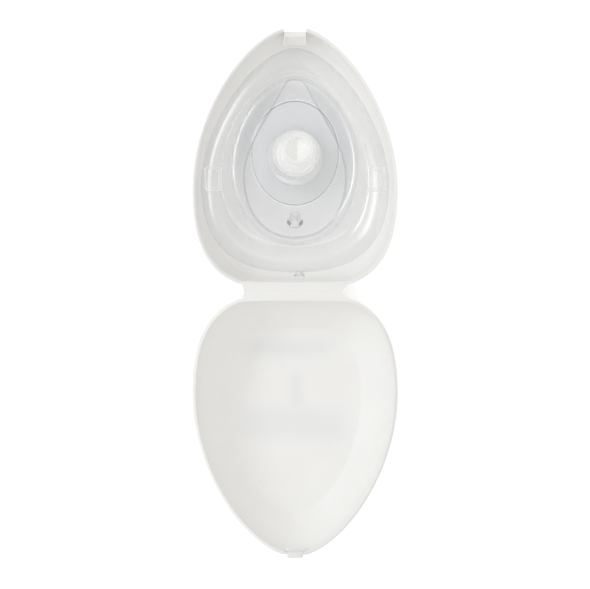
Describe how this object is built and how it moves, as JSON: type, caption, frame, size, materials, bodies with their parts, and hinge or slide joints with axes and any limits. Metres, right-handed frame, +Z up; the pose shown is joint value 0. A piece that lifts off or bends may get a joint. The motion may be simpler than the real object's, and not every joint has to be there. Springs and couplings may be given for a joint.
{
  "type": "pocket resuscitation mask in case",
  "caption": "Folded clear pocket resuscitation mask with one-way valve, lying in an open hinged clamshell storage case with a snap latch.",
  "frame": {"origin": "middle of the open case's footprint, on the surface it lies on", "axes": "+Z up, +Y from the hinge towards the tray's nose, X along the hinge's fold line"},
  "size_m": [0.113, 0.2903, 0.0452],
  "materials": {
    "tray_plastic": "satin moulded polypropylene, off-white",
    "lid_plastic": "satin moulded polypropylene, off-white",
    "label_print": "matt blank label",
    "cushion_pvc": "soft clear film, glossy",
    "dome_pvc": "soft clear vinyl, glossy",
    "clear_rigid": "rigid clear plastic, polished",
    "silicone": "translucent silicone, satin",
    "filter_fabric": "white non-woven filter sheet"
  },
  "bodies": {
    "tray": {"tray_shell": "tray_plastic", "hinge_film": "tray_plastic"},
    "lid": {"lid_shell": "lid_plastic", "lid_label": "label_print"},
    "latch": {"latch_tongue": "lid_plastic"},
    "mask": {"face_cushion": "cushion_pvc", "strap_flange": "clear_rigid", "dome_skirt": "dome_pvc", "dome_fold": "dome_pvc", "inflation_stem": "cushion_pvc"},
    "plug": {"inflation_plug": "clear_rigid"},
    "crown": {"dome_crown": "dome_pvc", "port_connector": "clear_rigid", "filter_ring": "silicone", "filter_membrane": "filter_fabric"},
    "nipple": {"oxygen_nipple": "clear_rigid", "oxygen_check_disc": "silicone"},
    "valve": {"valve_housing": "clear_rigid", "exhalation_sleeve": "silicone", "duckbill_valve": "silicone", "mouthpiece_ring": "clear_rigid"}
  },
  "joints": [
    {"name": "lid_hinge", "type": "hinge", "parent": "tray", "child": "lid", "pos_m": [0, 0, 0.025], "axis": [1, 0, 0], "range_deg": [-180, 0]},
    {"name": "latch_flex", "type": "hinge", "parent": "lid", "child": "latch", "pos_m": [0, -0.1438, 0.0217], "axis": [1, 0, 0], "range_deg": [0, 12], "stiffness_Nm_per_rad": 0.01},
    {"name": "mask_lift", "type": "slide", "parent": "tray", "child": "mask", "axis": [0, 0, 1], "range_m": [0, 0.06]},
    {"name": "plug_pull", "type": "slide", "parent": "mask", "child": "plug", "axis": [0, -1, 0], "range_m": [0, 0.0014]},
    {"name": "dome_pop", "type": "slide", "parent": "mask", "child": "crown", "axis": [0, 0, 1], "range_m": [0, 0.03], "deforming": ["dome_fold"]},
    {"name": "nipple_swing", "type": "hinge", "parent": "mask", "child": "nipple", "pos_m": [0, 0.0326, 0.02475], "axis": [1, 0, 0], "range_deg": [0, 108]},
    {"name": "valve_pull", "type": "slide", "parent": "crown", "child": "valve", "axis": [0.0523, 0.139, 0.9889], "range_m": [0, 0.03]}
  ],
  "couplings": [
    {"joint": "nipple_swing", "follows": "dome_pop", "rad_per_m": 62.832}
  ]
}
